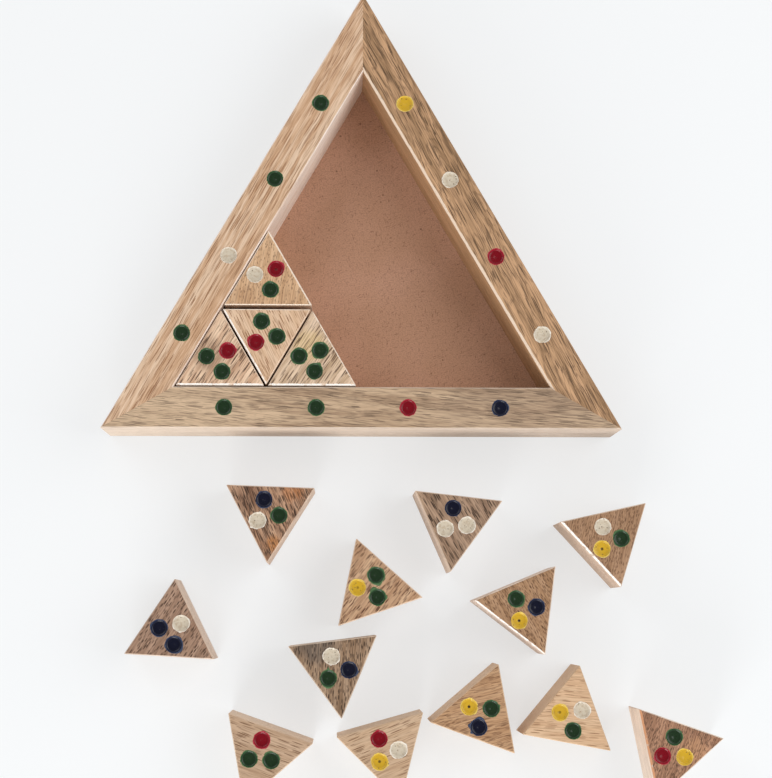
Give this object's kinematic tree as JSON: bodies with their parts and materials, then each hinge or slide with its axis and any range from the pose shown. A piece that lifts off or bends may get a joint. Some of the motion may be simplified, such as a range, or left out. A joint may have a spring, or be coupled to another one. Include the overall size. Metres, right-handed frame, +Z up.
{
  "type": "dot-matching triangle tile puzzle",
  "caption": "Mitred triangular wooden tray with painted dots on its rails, holding loose three-sided tiles whose painted dots must match along touching edges.",
  "frame": {"origin": "the centre of the tray, on the table that it rests on", "axes": "+Z up out of the tray, +Y towards the apex that is opposite the front rail, +X to the right along the front rail"},
  "size_m": [0.2648, 0.3501, 0.034],
  "materials": {
    "rail_wood_grey": "sanded greyish-brown wood with short dark wavy flecks, unvarnished",
    "rail_wood_brown": "sanded mid-brown wood with long olive-brown wavy figure, unvarnished",
    "rail_wood_pale": "sanded pale pinkish-tan wood with fine streaks along the rail, unvarnished",
    "fibreboard": "matt pinkish-brown fibreboard with fine dark fibres",
    "pin_steel": "bright drawn steel",
    "paint_green": "thick dark green gloss enamel, hand-filled",
    "paint_red": "thick crimson gloss enamel, hand-filled",
    "paint_yellow": "thick yellow gloss enamel with pits, hand-filled",
    "paint_white": "thick ivory white enamel with pits and bubbles, hand-filled",
    "paint_navy": "thick navy gloss enamel, hand-filled",
    "paint_mixed": "gloss enamel, one of the five dot paints in each of the three dots",
    "tile_wood_pale": "sanded pale wood with fine diagonal dashes",
    "tile_wood_tan": "sanded tan wood with fine short flecks",
    "tile_wood_brown": "sanded brown wood with dark flecks and figure",
    "tile_wood_dark": "sanded dark brown wood with dense dark streaks"
  },
  "bodies": {
    "tray": {"rail_front": "rail_wood_grey", "rail_right": "rail_wood_brown", "rail_left": "rail_wood_pale", "base_panel": "fibreboard", "panel_pins": "pin_steel", "frame_dots_green": "paint_green", "frame_dots_red": "paint_red", "frame_dots_yellow": "paint_yellow", "frame_dots_white": "paint_white", "frame_dots_navy": "paint_navy"},
    "tile_01": {"tile_01": "tile_wood_pale", "tile_01_dots": "paint_mixed"},
    "tile_02": {"tile_02": "tile_wood_pale", "tile_02_dots": "paint_mixed"},
    "tile_03": {"tile_03": "tile_wood_tan", "tile_03_dots": "paint_mixed"},
    "tile_04": {"tile_04": "tile_wood_tan", "tile_04_dots": "paint_mixed"},
    "tile_05": {"tile_05": "tile_wood_brown", "tile_05_dots": "paint_mixed"},
    "tile_06": {"tile_06": "tile_wood_dark", "tile_06_dots": "paint_mixed"},
    "tile_07": {"tile_07": "tile_wood_brown", "tile_07_dots": "paint_mixed"},
    "tile_08": {"tile_08": "tile_wood_tan", "tile_08_dots": "paint_mixed"},
    "tile_09": {"tile_09": "tile_wood_brown", "tile_09_dots": "paint_mixed"},
    "tile_10": {"tile_10": "tile_wood_dark", "tile_10_dots": "paint_mixed"},
    "tile_11": {"tile_11": "tile_wood_dark", "tile_11_dots": "paint_mixed"},
    "tile_12": {"tile_12": "tile_wood_tan", "tile_12_dots": "paint_mixed"},
    "tile_13": {"tile_13": "tile_wood_pale", "tile_13_dots": "paint_mixed"},
    "tile_14": {"tile_14": "tile_wood_brown", "tile_14_dots": "paint_mixed"},
    "tile_15": {"tile_15": "tile_wood_tan", "tile_15_dots": "paint_mixed"},
    "tile_16": {"tile_16": "tile_wood_pale", "tile_16_dots": "paint_mixed"}
  },
  "joints": [
    {"name": "lift_tile_01", "type": "slide", "parent": "tray", "child": "tile_01", "axis": [0, 0, 1], "range_m": [0, 0.045]},
    {"name": "lift_tile_02", "type": "slide", "parent": "tray", "child": "tile_02", "axis": [0, 0, 1], "range_m": [0, 0.045]},
    {"name": "lift_tile_03", "type": "slide", "parent": "tray", "child": "tile_03", "axis": [0, 0, 1], "range_m": [0, 0.045]},
    {"name": "lift_tile_04", "type": "slide", "parent": "tray", "child": "tile_04", "axis": [0, 0, 1], "range_m": [0, 0.045]},
    {"name": "lift_tile_05", "type": "slide", "parent": "tray", "child": "tile_05", "axis": [0, 0, 1], "range_m": [0, 0.045]},
    {"name": "lift_tile_06", "type": "slide", "parent": "tray", "child": "tile_06", "axis": [0, 0, 1], "range_m": [0, 0.045]},
    {"name": "lift_tile_07", "type": "slide", "parent": "tray", "child": "tile_07", "axis": [0, 0, 1], "range_m": [0, 0.045]},
    {"name": "lift_tile_08", "type": "slide", "parent": "tray", "child": "tile_08", "axis": [0, 0, 1], "range_m": [0, 0.045]},
    {"name": "lift_tile_09", "type": "slide", "parent": "tray", "child": "tile_09", "axis": [0, 0, 1], "range_m": [0, 0.045]},
    {"name": "lift_tile_10", "type": "slide", "parent": "tray", "child": "tile_10", "axis": [0, 0, 1], "range_m": [0, 0.045]},
    {"name": "lift_tile_11", "type": "slide", "parent": "tray", "child": "tile_11", "axis": [0, 0, 1], "range_m": [0, 0.045]},
    {"name": "lift_tile_12", "type": "slide", "parent": "tray", "child": "tile_12", "axis": [0, 0, 1], "range_m": [0, 0.045]},
    {"name": "lift_tile_13", "type": "slide", "parent": "tray", "child": "tile_13", "axis": [0, 0, 1], "range_m": [0, 0.045]},
    {"name": "lift_tile_14", "type": "slide", "parent": "tray", "child": "tile_14", "axis": [0, 0, 1], "range_m": [0, 0.045]},
    {"name": "lift_tile_15", "type": "slide", "parent": "tray", "child": "tile_15", "axis": [0, 0, 1], "range_m": [0, 0.045]},
    {"name": "lift_tile_16", "type": "slide", "parent": "tray", "child": "tile_16", "axis": [0, 0, 1], "range_m": [0, 0.045]}
  ]
}
